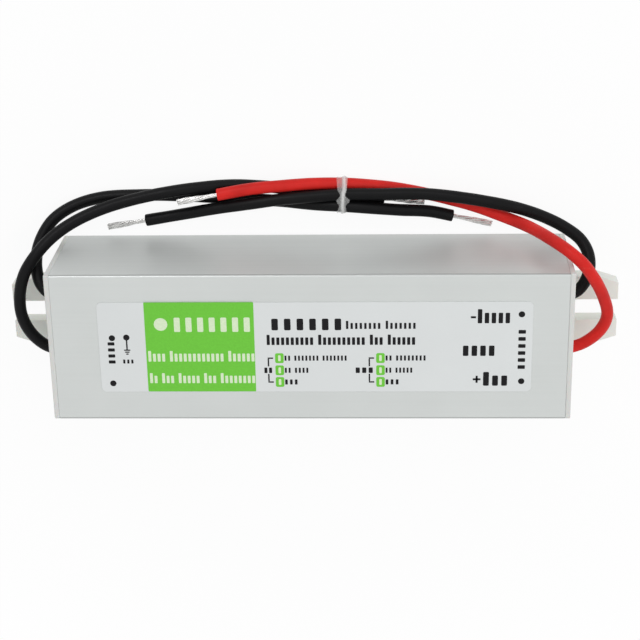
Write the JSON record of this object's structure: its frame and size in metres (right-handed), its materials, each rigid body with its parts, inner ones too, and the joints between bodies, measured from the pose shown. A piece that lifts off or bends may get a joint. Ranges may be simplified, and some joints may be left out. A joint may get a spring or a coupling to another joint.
{
  "type": "led driver",
  "caption": "Slim LED driver: flat aluminium tube with plastic end caps, forked screw ears, a face label and tied flying leads. Turns mains into low-voltage DC.",
  "frame": {"origin": "middle of the flat mounting face under the tube", "axes": "+X along the tube to the output end, +Y across it to the side where the tied leads lie, +Z out of the label"},
  "size_m": [0.1488, 0.0522, 0.0287],
  "materials": {
    "housing": "satin",
    "end_cap": "matte",
    "label": "satin",
    "black_insulation": "satin",
    "red_insulation": "satin",
    "tinned_copper": "satin",
    "clear_strip": "gloss",
    "board": "satin",
    "film": "matte",
    "fuse_body": "matte",
    "blue_lacquer": "gloss",
    "yellow_case": "satin",
    "ferrite": "matte",
    "copper_wire": "gloss",
    "moulded_black": "matte",
    "can_sleeve": "gloss",
    "bobbin": "satin",
    "winding_tape": "satin",
    "spreader": "satin",
    "thermal_pad": "matte"
  },
  "bodies": {
    "root": {"housing": "housing", "input_end_cap": "end_cap", "output_end_cap": "end_cap", "rating_label": "label", "input_lead_a": "black_insulation", "input_lead_b": "black_insulation", "output_lead_negative": "black_insulation", "output_lead_positive": "red_insulation", "input_tip_a": "tinned_copper", "input_tip_b": "tinned_copper", "output_tip_negative": "tinned_copper", "output_tip_positive": "tinned_copper", "bundle_tie": "clear_strip", "circuit_board": "board", "insulating_film": "film", "fuse": "fuse_body", "varistor": "blue_lacquer", "x_capacitor": "yellow_case", "choke_core": "ferrite", "choke_windings": "copper_wire", "bridge_rectifier": "moulded_black", "input_capacitor": "can_sleeve", "switch_transistor": "moulded_black", "controller_chip": "moulded_black", "transformer_core": "ferrite", "transformer_bobbin": "bobbin", "transformer_winding": "winding_tape", "y_capacitor": "blue_lacquer", "optocoupler": "moulded_black", "output_rectifier": "moulded_black", "output_capacitor_a": "can_sleeve", "output_capacitor_b": "can_sleeve", "heat_spreader": "spreader", "thermal_pad": "thermal_pad"}
  },
  "joints": []
}
